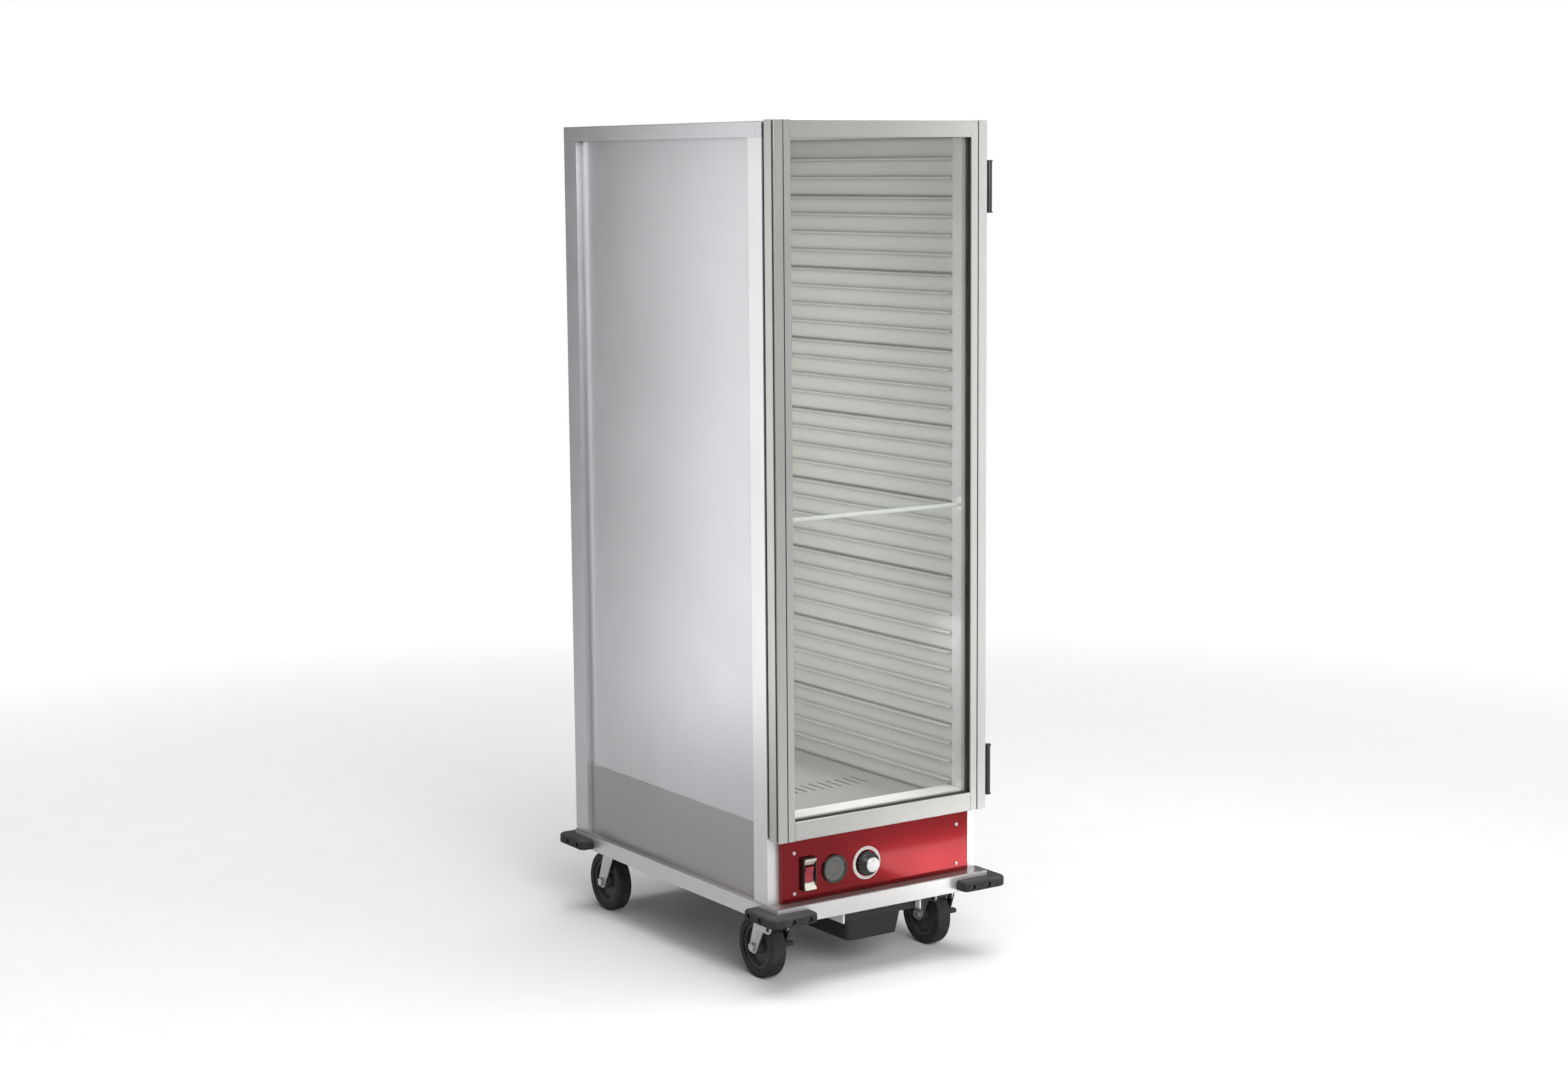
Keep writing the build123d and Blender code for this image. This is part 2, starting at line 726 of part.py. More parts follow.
def knob_cap():
    """Bright metal cap with a pointer groove."""
    x = DIAL_X
    z = CONTROL_Z
    cap = rod_y(x, CAP_FRONT, KNOB_STEP, z, 15.0)
    cap = fillet(cap.edges().sort_by(Axis.Y)[:1], 1.5)
    return cap - block(x - 0.8, x + 0.8, CAP_FRONT - 1, CAP_FRONT + 1, z + 4, z + 16)


# Heater compartment ---------------------------------------------------------

ELEMENT_RADIUS = 4.0
ELEMENT_Z = 240.0
FAN_MOTOR_TOP = 262.0


def heating_element():
    """Sheathed heating element bent into a hairpin, on two saddles."""
    reach = 150.0
    half = 60.0
    y_back = -20.0
    y_front = y_back - 2 * half
    path = Line((-reach, y_front, ELEMENT_Z), (reach, y_front, ELEMENT_Z))
    path += ThreePointArc(
        (reach, y_front, ELEMENT_Z),
        (reach + half, y_front + half, ELEMENT_Z),
        (reach, y_back, ELEMENT_Z),
    )
    path += Line((reach, y_back, ELEMENT_Z), (-reach, y_back, ELEMENT_Z))
    section = Plane(origin=path @ 0, z_dir=path % 0) * Circle(ELEMENT_RADIUS)
    solids = [sweep(section, path=path)]
    for x in (-100.0, 100.0):
        saddle = block(x - 8, x + 8, y_front - 12, y_back + 12, ELEMENT_Z - 10, ELEMENT_Z)
        saddle += block(x - 8, x + 8, y_front - 12, y_front - 9, BASE_TOP, ELEMENT_Z - 10)
        saddle += block(x - 8, x + 8, y_back + 9, y_back + 12, BASE_TOP, ELEMENT_Z - 10)
        for y in (y_front, y_back):
            saddle -= rod_x(x - 9, x + 9, y, ELEMENT_Z, ELEMENT_RADIUS)
        solids.append(saddle)
    return solids


def fan_motor():
    """Upright circulation motor on a square foot."""
    foot = block(FAN_X - 45, FAN_X + 45, FAN_Y - 45, FAN_Y + 45, BASE_TOP, BASE_TOP + 4)
    drum = rod_z(FAN_X, FAN_Y, BASE_TOP + 4, FAN_MOTOR_TOP, 36.0)
    drum = fillet(drum.edges().sort_by(Axis.Z)[-1:], 6.0)
    shaft = rod_z(FAN_X, FAN_Y, FAN_MOTOR_TOP, FAN_MOTOR_TOP + 26, 4.0)
    return foot + drum + shaft


def fan_impeller():
    """Five-bladed impeller that turns on the motor shaft."""
    z0 = FAN_MOTOR_TOP + 4
    hub = rod_z(FAN_X, FAN_Y, z0, z0 + 22, 13.0)
    blade = Pos(34, 0, z0 + 11) * Rot(32, 0, 0) * Box(46, 24, 1.6)
    impeller = hub
    for number in range(5):
        impeller += Pos(FAN_X, FAN_Y, 0) * Rot(0, 0, 72 * number) * blade
    return impeller - rod_z(FAN_X, FAN_Y, z0 - 1, z0 + 23, 4.0 + RUNNING_GAP)


CORD_X = 165.0
CORD_Z = 250.0
CORD_RADIUS = 4.5
GRIP_RADIUS = 8.0
CORD_Y = 397.0


def power_cord():
    """Cord with a moulded grip through the rear skin and a plug on the free end."""
    path = Spline(
        (CORD_X, BACK_SKIN_FACE + 6, CORD_Z),
        (CORD_X - 4, CORD_Y, CORD_Z - 26),
        (CORD_X - 40, CORD_Y + 2, CORD_Z - 50),
        (CORD_X - 110, CORD_Y + 2, CORD_Z - 58),
        (CORD_X - 170, CORD_Y, CORD_Z - 30),
        (CORD_X - 186, CORD_Y, CORD_Z + 20),
        tangents=[(0, 1, 0), (0, 0, 1)],
    )
    section = Plane(origin=path @ 0, z_dir=path % 0) * Circle(CORD_RADIUS)
    cord = sweep(section, path=path)
    grip = rod_y(CORD_X, BACK_SKIN_FACE - 10, BACK_SKIN_FACE + 6, CORD_Z, GRIP_RADIUS)
    plug_x = CORD_X - 186
    plug_z = CORD_Z + 20
    plug = rod_z(plug_x, CORD_Y, plug_z, plug_z + 34, 13.0)
    plug = fillet(plug.edges().sort_by(Axis.Z)[:1], 5.0)
    for offset in (-6.35, 6.35):
        plug += block(
            plug_x + offset - 0.75,
            plug_x + offset + 0.75,
            CORD_Y - 6.2,
            CORD_Y + 0.2,
            plug_z + 34,
            plug_z + 52,
        )
    plug += rod_z(plug_x, CORD_Y + 8, plug_z + 34, plug_z + 54, 2.4)
    return grip + cord + plug


# Drip pan -------------------------------------------------------------------

PAN_RAIL_INNER = 92.0
PAN_RAIL_OUTER = 95.0


def drip_pan():
    """Tapered condensate pan with a wide rim and a front lip."""
    rear = PAN_FRONT + PAN_LENGTH
    middle = (PAN_FRONT + 2 + rear) / 2
    top_width = 141.0
    bottom_width = 122.0
    length = PAN_LENGTH - 14
    wall = 2.0
    rim_top = PAN_RIM_BOTTOM + wall

    def tub(inset, z_bottom):
        """Tapered tub, smaller by the inset all round."""
        low = Pos(0, middle, z_bottom) * RectangleRounded(
            bottom_width - 2 * inset, length - 16 - 2 * inset, 14 - inset
        )
        high = Pos(0, middle, rim_top) * RectangleRounded(
            top_width - 2 * inset, length - 2 * inset, 18 - inset
        )
        return loft([low, high])

    pan = tub(0, PAN_BOTTOM)
    half = PAN_RIM_HALF_WIDTH
    pan += block(-half, half, PAN_FRONT, rear, PAN_RIM_BOTTOM, rim_top)
    pan += block(-half, half, PAN_FRONT - wall, PAN_FRONT, PAN_RIM_BOTTOM - 3, PAN_TOP)
    pan -= tub(wall, PAN_BOTTOM + wall)
    return pan


def pan_rails():
    """Bright angle runners that the pan's rim slides on."""
    rear = PAN_FRONT + PAN_LENGTH + 4
    web_front = PAN_FRONT - 16
    lip_bottom = 118.0
    lip_top = 120.0
    web = block(PAN_RAIL_INNER, PAN_RAIL_OUTER, web_front, rear, lip_bottom, DECK_BOTTOM - 3)
    web += block(
        PAN_RAIL_INNER, PAN_RAIL_OUTER, -363.5, rear, DECK_BOTTOM - 3, DECK_BOTTOM
    )
    lip = block(80, PAN_RAIL_INNER, PAN_FRONT + 1, rear, lip_bottom, lip_top)
    stop = block(80, PAN_RAIL_INNER, rear - 3, rear, lip_top, PAN_TOP)
    return both_sides(web + lip + stop)


# Casters --------------------------------------------------------------------

CASTER_BOLT_RADIUS = 4.0
CASTER_BOLT_X = 27.0
CASTER_BOLT_Y = 38.0
CROWN_TOP = RACE_BOTTOM - RUNNING_GAP
CROWN_THICKNESS = 4.0
BRAKE_Y = -14.0
BRAKE_Z = 110.0
BRAKE_SHAFT_RADIUS = 4.0
BRAKE_NOSE = 5.8
BRAKE_NOSE_TILT = -111.8


def caster_bolt_places(x, y):
    """Centres of the four bolts of one caster."""
    places = []
    for dx in (-CASTER_BOLT_X, CASTER_BOLT_X):
        for dy in (-CASTER_BOLT_Y, CASTER_BOLT_Y):
            places.append((x + dx, y + dy))
    return places


def caster_places():
    """Name and stem position of each caster."""
    return {
        "front_left": (-CASTER_X, -CASTER_Y),
        "front_right": (CASTER_X, -CASTER_Y),
        "rear_left": (-CASTER_X, CASTER_Y),
        "rear_right": (CASTER_X, CASTER_Y),
    }


def caster_plates():
    """Bolted top plates with the ball race and the kingpin of each caster."""
    plate_bottom = MOUNT_BOTTOM - CASTER_PLATE_THICKNESS
    solids = []
    for x, y in caster_places().values():
        plate = block(x - 36, x + 36, y - 48, y + 48, plate_bottom, MOUNT_BOTTOM)
        for bx, by in caster_bolt_places(x, y):
            plate -= rod_z(bx, by, plate_bottom - 1, MOUNT_BOTTOM + 1, CASTER_BOLT_RADIUS)
        race = rod_z(x, y, RACE_BOTTOM, plate_bottom, 28.0)
        race = fillet(race.edges().sort_by(Axis.Z)[:1], 2.5)
        crown_bottom = CROWN_TOP - CROWN_THICKNESS
        head_top = crown_bottom - RUNNING_GAP
        pin = rod_z(x, y, head_top, RACE_BOTTOM, KINGPIN_RADIUS)
        head = rod_z(x, y, head_top - 5, head_top, 9.0)
        solids.append(plate + race + pin + head)
    return solids


def caster_bolts():
    """Hexagon bolts and nuts that hold the caster plates."""
    plate_bottom = MOUNT_BOTTOM - CASTER_PLATE_THICKNESS
    mount_top = MOUNT_BOTTOM + MOUNT_THICKNESS
    solids = []
    for x, y in caster_places().values():
        for bx, by in caster_bolt_places(x, y):
            bolt = rod_z(bx, by, plate_bottom, mount_top + 8, CASTER_BOLT_RADIUS)
            bolt += hex_z(bx, by, plate_bottom - 5, plate_bottom, 13.0)
            nut = hex_z(bx, by, mount_top, mount_top + 6.5, 13.0)
            nut -= rod_z(bx, by, mount_top - 1, mount_top + 8, CASTER_BOLT_RADIUS)
            solids.extend([bolt, nut])
    return solids


def fork_leg(x0, x1, braked):
    """One side plate of a fork, in the caster's own frame."""
    plates = []
    top = CROWN_TOP
    leg_points = [
        (-20.0, top),
        (24.0, top),
        (CASTER_TRAIL + 12.6, WHEEL_RADIUS + 3.2),
        (CASTER_TRAIL - 11.6, WHEEL_RADIUS - 5.9),
    ]
    plates.append(outline_x(leg_points, x0, x1))
    plates.append(rod_x(x0, x1, CASTER_TRAIL, WHEEL_RADIUS, 13.0))
    if braked:
        lug = [(-22.0, top), (4.0, top), (4.0, BRAKE_Z - 8), (BRAKE_Y, BRAKE_Z - 9)]
        lug += [(BRAKE_Y - 8.9, BRAKE_Z - 1.5)]
        plates.append(outline_x(lug, x0, x1))
        plates.append(rod_x(x0, x1, BRAKE_Y, BRAKE_Z, 9.0))
    leg = plates[0]
    for plate in plates[1:]:
        leg += plate
    if braked:
        bore = BRAKE_SHAFT_RADIUS + RUNNING_GAP
        leg -= rod_x(x0 - 1, x1 + 1, BRAKE_Y, BRAKE_Z, bore)
    return leg


def caster_fork(x, y, braked):
    """Pressed fork with its axle bolt and nut."""
    crown = rod_z(0, 0, CROWN_TOP - CROWN_THICKNESS, CROWN_TOP, 26.0)
    crown += block(-FORK_OUTER, FORK_OUTER, -20, 24, CROWN_TOP - CROWN_THICKNESS, CROWN_TOP)
    fork = crown
    fork += fork_leg(FORK_INNER, FORK_OUTER, braked)
    fork += fork_leg(-FORK_OUTER, -FORK_INNER, braked)
    bore = KINGPIN_RADIUS + RUNNING_GAP
    fork -= rod_z(0, 0, CROWN_TOP - CROWN_THICKNESS - 1, CROWN_TOP + 1, bore)
    fork -= rod_x(-30, 30, CASTER_TRAIL, WHEEL_RADIUS, AXLE_RADIUS)
    axle = rod_x(-FORK_OUTER, 30, CASTER_TRAIL, WHEEL_RADIUS, AXLE_RADIUS)
    axle += hex_x(-FORK_OUTER - 6, -FORK_OUTER, CASTER_TRAIL, WHEEL_RADIUS, 16.0)
    nut = hex_x(FORK_OUTER, FORK_OUTER + 6, CASTER_TRAIL, WHEEL_RADIUS, 16.0)
    nut -= rod_x(FORK_OUTER - 1, FORK_OUTER + 7, CASTER_TRAIL, WHEEL_RADIUS, AXLE_RADIUS)
    return [Pos(x, y, 0) * shape for shape in (fork, axle, nut)]


def wheel_ring(x0, x1, radius):
    """A disc on the wheel axis, in the caster's own frame."""
    return rod_x(x0, x1, CASTER_TRAIL, WHEEL_RADIUS, radius)


TYRE_INNER = 47.0


def caster_hub(x, y):
    """Moulded wheel centre that turns on the axle bolt."""
    reach = FORK_INNER - 0.3
    rim_half = 13.0
    hub = wheel_ring(-rim_half, rim_half, TYRE_INNER)
    hub -= wheel_ring(4, rim_half + 1, 40.0)
    hub -= wheel_ring(-rim_half - 1, -4, 40.0)
    hub += wheel_ring(-reach, reach, 15.0)
    hub -= wheel_ring(-reach - 1, reach + 1, AXLE_RADIUS + RUNNING_GAP)
    return Pos(x, y, 0) * hub


def caster_tyre(x, y):
    """Rubber tread bonded to the wheel centre."""
    half = WHEEL_WIDTH / 2
    tyre = wheel_ring(-half, half, WHEEL_RADIUS)
    tyre = fillet(tyre.edges(), 5.0)
    tyre -= wheel_ring(-half - 1, half + 1, TYRE_INNER)
    return Pos(x, y, 0) * tyre


def brake_lever(x, y):
    """Cam brake: cross shaft, cam nose over the tread, side arm and foot tab."""
    shaft = rod_x(-24, 26.5, BRAKE_Y, BRAKE_Z, BRAKE_SHAFT_RADIUS)
    nose = block(-12, 12, -2, 2, 0, BRAKE_NOSE)
    shaft += Pos(0, BRAKE_Y, BRAKE_Z) * Rot(BRAKE_NOSE_TILT, 0, 0) * nose
    arm_points = [
        (BRAKE_Y - 8, BRAKE_Z),
        (BRAKE_Y + 8, BRAKE_Z),
        (12.0, 74.0),
        (12.0, 66.0),
        (-6.0, 66.0),
    ]
    arm = outline_x(arm_points, 23.0, 26.5)
    arm += rod_x(23.0, 26.5, BRAKE_Y, BRAKE_Z, 8.0)
    tab = block(26.5, 47.0, -6, 12, 66, 73)
    tab = fillet(tab.edges().filter_by(Axis.Z).sort_by(Axis.X)[-2:], 6.0)
    return Pos(x, y, 0) * (shaft + arm + tab)


# Door -----------------------------------------------------------------------

GROOVE_OUTER = 231.0
GROOVE_WIDTH = 2.6
GROOVE_DEPTH = 4.0
CORNER_QUIRK_FRONT = 1.6
CORNER_QUIRK_WIDTH = 5.0
CORNER_QUIRK_DEPTH = 4.0
GLASS_FRONT = DOOR_FRONT + GLASS_SETBACK
GLASS_BACK = GLASS_FRONT + GLASS_THICKNESS
SEAL_THICKNESS = 3.0
LINING_THICKNESS = 2.0
LIP_DEPTH = 2.5


def glazed_edge(width):
    """Inner edge of a frame member: front lip, seal seat, pane channel and back."""
    seat = width - LINING_THICKNESS
    channel = width - GLASS_EDGE_COVER - 1
    return [
        (width - 1.0, DOOR_FRONT),
        (width, DOOR_FRONT + 1.0),
        (width, DOOR_FRONT + LIP_DEPTH),
        (seat, DOOR_FRONT + LIP_DEPTH),
        (seat, GLASS_FRONT - SEAL_THICKNESS),
        (channel, GLASS_FRONT - SEAL_THICKNESS),
        (channel, GLASS_BACK + SEAL_THICKNESS),
        (width, GLASS_BACK + SEAL_THICKNESS),
        (width, DOOR_BACK),
    ]


def stile_section(width):
    """Cross-section of a frame member: distance in from the outer edge, and Y."""
    groove = DOOR_HALF_WIDTH - GROOVE_OUTER
    quirk_front = DOOR_FRONT + CORNER_QUIRK_FRONT
    quirk_back = quirk_front + CORNER_QUIRK_WIDTH
    return [
        (0.0, DOOR_BACK),
        (0.0, quirk_back),
        (CORNER_QUIRK_DEPTH, quirk_back),
        (CORNER_QUIRK_DEPTH, quirk_front),
        (0.5, quirk_front),
        (1.5, DOOR_FRONT),
        (groove, DOOR_FRONT),
        (groove, DOOR_FRONT + GROOVE_DEPTH),
        (groove + GROOVE_WIDTH, DOOR_FRONT + GROOVE_DEPTH),
        (groove + GROOVE_WIDTH, DOOR_FRONT),
    ] + glazed_edge(width)


def rail_section(width):
    """Cross-section of a top or bottom rail: distance in from the edge, and Y."""
    return [
        (0.0, DOOR_BACK),
        (0.0, DOOR_FRONT + 1.0),
        (1.0, DOOR_FRONT),
    ] + glazed_edge(width)


def door_frame():
    """Two stiles with rails butted between them, all extruded."""
    width = DOOR_HALF_WIDTH - WINDOW_HALF_WIDTH
    stile_points = [(DOOR_HALF_WIDTH - u, y) for u, y in stile_section(width)]
    right = outline_z(stile_points, DOOR_BOTTOM, DOOR_TOP)
    stiles = both_sides(right)
    low = rail_section(WINDOW_BOTTOM - DOOR_BOTTOM)
    bottom_points = [(y, DOOR_BOTTOM + u) for u, y in low]
    high = rail_section(DOOR_TOP - WINDOW_TOP)
    top_points = [(y, DOOR_TOP - u) for u, y in high]
    inner = WINDOW_HALF_WIDTH
    bottom = outline_x(bottom_points, -inner, inner)
    top = outline_x(top_points, -inner, inner)
    return stiles + [bottom, top]


def door_window():
    """Clear pane held in the frame's channel."""
    half = WINDOW_HALF_WIDTH + GLASS_EDGE_COVER - 1
    z0 = WINDOW_BOTTOM - GLASS_EDGE_COVER + 1
    z1 = WINDOW_TOP + GLASS_EDGE_COVER - 1
    return block(-half, half, GLASS_FRONT, GLASS_BACK, z0, z1)


def window_ring(cover, y0, y1):
    """A ring around the window opening that reaches cover past its edge."""
    half_x = WINDOW_HALF_WIDTH + cover
    z0 = WINDOW_BOTTOM - cover
    z1 = WINDOW_TOP + cover
    ring = block(-half_x, half_x, y0, y1, z0, z1)
    inner = WINDOW_HALF_WIDTH
    return ring - block(-inner, inner, y0 - 1, y1 + 1, WINDOW_BOTTOM, WINDOW_TOP)


def glazing_gasket():
    """Black seals in front of and behind the pane, with a lining in the recess."""
    seal_front = GLASS_FRONT - SEAL_THICKNESS
    lining = window_ring(LINING_THICKNESS, DOOR_FRONT + LIP_DEPTH, seal_front)
    front = window_ring(GLASS_EDGE_COVER, seal_front, GLASS_FRONT)
    back = window_ring(GLASS_EDGE_COVER, GLASS_BACK, GLASS_BACK + SEAL_THICKNESS)
    return [front + lining, back]


def door_gasket():
    """Magnetic seal between the door and the face of the body."""
    outer_x = 250.0
    inner_x = 236.0
    outer_z0 = 309.0
    outer_z1 = 1673.0
    ring = block(-outer_x, outer_x, DOOR_BACK, BODY_FRONT, outer_z0, outer_z1)
    ring -= block(
        -inner_x, inner_x, DOOR_BACK - 1, BODY_FRONT + 1, outer_z0 + 14, outer_z1 - 14
    )
    return ring


def hinge_split(centre):
    """Bottom, middle and top height of one hinge."""
    return centre - HINGE_HEIGHT / 2, centre, centre + HINGE_HEIGHT / 2


def cabinet_hinge_leaves():
    """Lower knuckles with their pins and the leaves fixed to the right post."""
    solids = []
    leaf_inner = BODY_HALF_WIDTH
    leaf_outer = BODY_HALF_WIDTH + LEAF_THICKNESS
    for centre in HINGE_CENTRES:
        z0, middle, z1 = hinge_split(centre)
        knuckle = rod_z(HINGE_X, HINGE_Y, z0 + 3, middle - 0.2, HINGE_RADIUS)
        knuckle += rod_z(HINGE_X, HINGE_Y, z0, z0 + 3, HINGE_RADIUS + 1.2)
        pin = rod_z(HINGE_X, HINGE_Y, middle - 0.2, z1 - 8, HINGE_PIN_RADIUS)
        leaf = block(leaf_inner, leaf_outer, HINGE_Y, -312, z0 + 3, middle - 1)
        leaf -= block(leaf_inner - 1, leaf_inner + 0.2, HINGE_Y - 1, BODY_FRONT, z0, z1)
        arm = block(leaf_inner + 0.2, HINGE_X, HINGE_Y, HINGE_Y + 5, z0 + 3, middle - 1)
        solids.append(knuckle + pin + leaf + arm)
    return solids


def door_hinge_leaves():
    """Upper knuckles and the leaves fixed to the edge of the door."""
    solids = []
    leaf_inner = DOOR_HALF_WIDTH
    leaf_outer = DOOR_HALF_WIDTH + LEAF_THICKNESS
    for centre in HINGE_CENTRES:
        z0, middle, z1 = hinge_split(centre)
        knuckle = rod_z(HINGE_X, HINGE_Y, middle, z1 - 3, HINGE_RADIUS)
        knuckle += rod_z(HINGE_X, HINGE_Y, z1 - 3, z1, HINGE_RADIUS + 1.2)
        leaf = block(leaf_inner, leaf_outer, HINGE_Y, DOOR_BACK, middle + 1, z1 - 3)
        arm = block(leaf_inner, HINGE_X, HINGE_Y, HINGE_Y + 5, middle + 1, z1 - 3)
        bore = rod_z(HINGE_X, HINGE_Y, z0, z1 - 7.5, HINGE_PIN_RADIUS + RUNNING_GAP)
        solids.append(knuckle + leaf + arm - bore)
    return solids


# Files ----------------------------------------------------------------------

write("base_rails", base_rails())
write("base_deck", [base_deck()])
write("corner_bumpers", corner_bumpers())
write("bumper_screws", bumper_screws())
write("front_posts", front_posts())
write("rear_posts", rear_posts())
write("top_rails", top_rails())
write("top_panel", [top_panel()])
write("ceiling_panel", [ceiling_panel()])
write("side_panels", side_panels())
write("lower_side_panels", lower_side_panels())
write("back_panel", [back_panel()])
write("back_liner", [back_liner()])
write("slide_planks_left", slide_planks(-1))
write("slide_planks_right", slide_planks(1))
write("floor_pan", [floor_pan()])
write("front_sill", [front_sill()])
write("stabilizer_bar", stabilizer_bar())
write("control_panel", [control_panel()])
write("panel_screws", panel_screws())
write("switch_housing", [switch_housing()])
write("switch_guards", switch_guards())
write("switch_rocker", [switch_rocker()])
write("thermometer_case", [thermometer_case()])
write("thermometer_dial", [thermometer_dial()])
write("thermometer_needle", [thermometer_needle()])
write("thermometer_lens", [thermometer_lens()])
write("dial_plate", [dial_plate()])
write("thermostat_body", [thermostat_body()])
write("thermostat_knob", [thermostat_knob()])
write("knob_cap", [knob_cap()])
write("heating_element", heating_element())
write("fan_motor", [fan_motor()])
write("fan_impeller", [fan_impeller()])
write("power_cord", [power_cord()])
write("drip_pan", [drip_pan()])
write("pan_rails", pan_rails())
write("caster_plates", caster_plates())
write("caster_bolts", caster_bolts())
for place, (stem_x, stem_y) in caster_places().items():
    is_front = stem_y < 0
    write(f"fork_{place}", caster_fork(stem_x, stem_y, is_front))
    write(f"hub_{place}", [caster_hub(stem_x, stem_y)])
    write(f"tyre_{place}", [caster_tyre(stem_x, stem_y)])
    if is_front:
        write(f"brake_{place}", [brake_lever(stem_x, stem_y)])
write("door_frame", door_frame())
write("door_window", [door_window()])
write("glazing_gasket", glazing_gasket())
write("door_gasket", [door_gasket()])
write("cabinet_hinge_leaves", cabinet_hinge_leaves())
write("door_hinge_leaves", door_hinge_leaves())
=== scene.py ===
import json
import math

import bpy
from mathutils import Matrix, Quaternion, Vector


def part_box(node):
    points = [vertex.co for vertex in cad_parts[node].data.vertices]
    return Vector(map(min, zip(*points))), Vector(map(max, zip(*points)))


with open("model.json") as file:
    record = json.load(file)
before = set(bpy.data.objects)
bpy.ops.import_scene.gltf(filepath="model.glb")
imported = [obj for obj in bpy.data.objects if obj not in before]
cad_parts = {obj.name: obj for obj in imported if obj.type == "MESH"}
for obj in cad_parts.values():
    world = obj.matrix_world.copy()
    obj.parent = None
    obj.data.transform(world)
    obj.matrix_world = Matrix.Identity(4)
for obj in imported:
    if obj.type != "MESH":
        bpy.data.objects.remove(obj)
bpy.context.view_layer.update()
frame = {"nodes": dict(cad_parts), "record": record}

NODES = frame["nodes"]
MM = 0.001

# Camera: where it stands and how it is turned, in the cabinet's frame
CAMERA_PLACE = Vector((-3.009, -4.527, 1.592))
CAMERA_AIM = Vector((0.03, 0.0, 0.835))
CAMERA_LENS = 61.0
CAMERA_ROLL = -0.0076
SENSOR_WIDTH = 36.0

# Soft boxes: place, the point each one faces, width and height in metres, power in watts
OVERHEAD = dict(place=(0.2, -0.6, 4.6), aim=(0.0, 0.0, 0.8), width=4.0, height=4.0, power=190.0)
KEY = dict(place=(-1.2, -5.3, 2.9), aim=(0.0, 0.0, 0.8), width=3.4, height=3.0, power=210.0)

# Cards that are only mirrored in the metal, given like the soft boxes
SIDE_CARD = dict(place=(-1.66, 1.33, 0.94), aim=(-0.24, -0.1, 0.94), width=1.0, height=1.82, power=8.0)
FRONT_CARD = dict(place=(1.7, -1.55, 1.02), aim=(0.0, -0.39, 1.02), width=1.0, height=2.0, power=10.5)
FLOOR_CARD = dict(place=(0.85, -0.94, 0.01), aim=(0.85, -0.94, 1.0), width=0.8, height=0.28, power=2.2)

# Lights inside the cabinet: a strip over the front sill, and two fills that face the slide walls
SILL_STRIP = dict(place=(0.0, -0.31, 0.7), aim=(0.0, -0.33, 0.33), width=0.4, height=0.06, power=0.55)
FILL_HEIGHT = 0.97
FILL_OFFSET = 0.16
FILL_AIM = 0.2
FILL_SIZE = (0.5, 1.2)
FILL_POWER = 3.6

# Surroundings seen in reflections: strongest towards the front right, weakest behind
SURROUND_STRENGTH = 0.45
SURROUND_WEAKEST = 0.35
STRONG_SIDE = (0.5, -0.866, 0.0)

# Floor: its size, where it fades into the backdrop, and its tone for the camera and in reflections
FLOOR_RADIUS = 9.0
FLOOR_SIDES = 96
FADE_START = 1.2
FADE_END = 3.6
FLOOR_SEEN = 0.96
FLOOR_REFLECTED = 0.50

# Glass: what it mirrors head on and at a grazing slant, and how late between them it rises
GLASS_HEAD_ON = 0.04
GLASS_GRAZING = 0.9
GLASS_RISE = 5.0

# Neighbouring faces that meet at less than this angle are shaded smooth
SMOOTH_LIMIT = math.radians(32)

# Noise mostly lies between these two values
NOISE_LOW = 0.3
NOISE_HIGH = 0.7

# Scale of the grain on each axis: fine across the strokes and long along them
UPRIGHT_GRAIN = (900.0, 900.0, 6.0)
LENGTH_GRAIN = (6.0, 6.0, 900.0)
FLAT_GRAIN = (900.0, 6.0, 900.0)
CAP_GRAIN = (500.0, 20.0, 500.0)


# Node helpers ---------------------------------------------------------------


def rgb(red, green, blue):
    return (red, green, blue, 1.0)


def grey(level):
    return rgb(level, level, level)


def lighter(colour, factor, lift):
    """A paler colour, for edges where the finish is rubbed."""
    return rgb(*[min(1.0, part * factor + lift) for part in colour])


